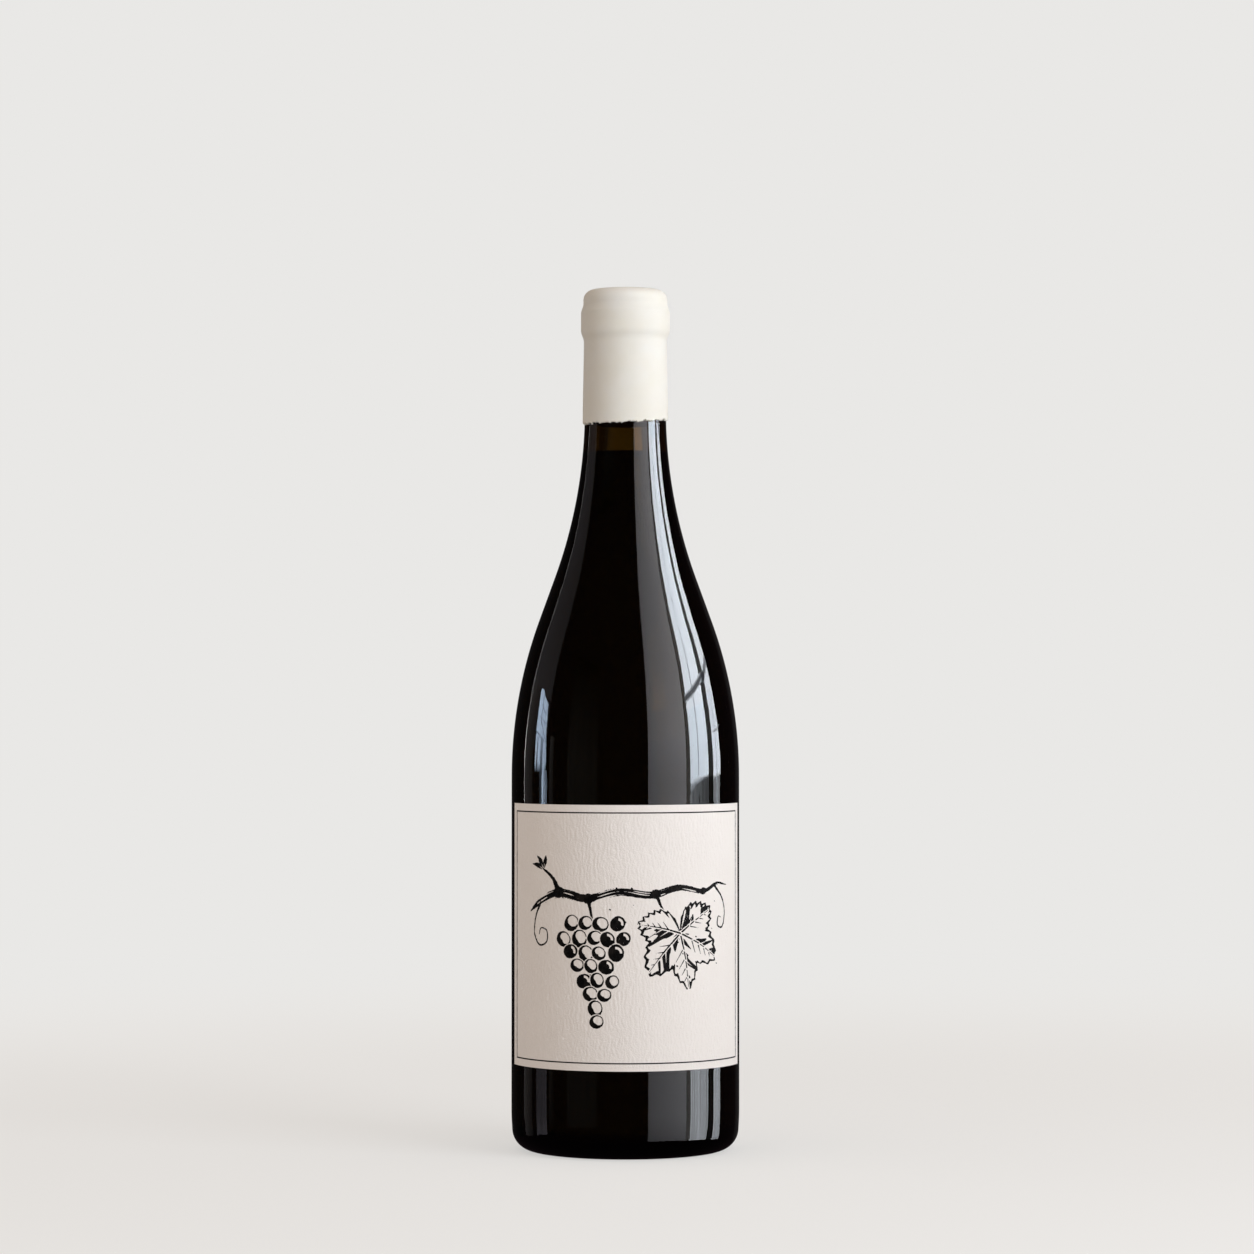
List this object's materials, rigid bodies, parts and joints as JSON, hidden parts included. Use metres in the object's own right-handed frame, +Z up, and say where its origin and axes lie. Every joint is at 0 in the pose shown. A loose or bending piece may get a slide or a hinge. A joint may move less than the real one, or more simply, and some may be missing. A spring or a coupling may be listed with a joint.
{
  "type": "wine bottle",
  "caption": "Sealed dark glass wine bottle with sloping shoulders, filled with red wine, closed with a cork under cream sealing wax, with a paper label.",
  "frame": {"origin": "centre of the base, on the flat ring that the bottle stands on", "axes": "+Z up along the bottle's axis; the label faces -Y"},
  "size_m": [0.08, 0.0802, 0.3022],
  "materials": {
    "dark_glass": "gloss",
    "red_wine": "gloss",
    "cork_bark": "matt",
    "cream_wax": "satin",
    "label_paper": "matt"
  },
  "bodies": {
    "root": {"glass_bottle": "dark_glass", "wine": "red_wine", "cork": "cork_bark", "wax_seal": "cream_wax", "label": "label_paper"}
  },
  "joints": []
}
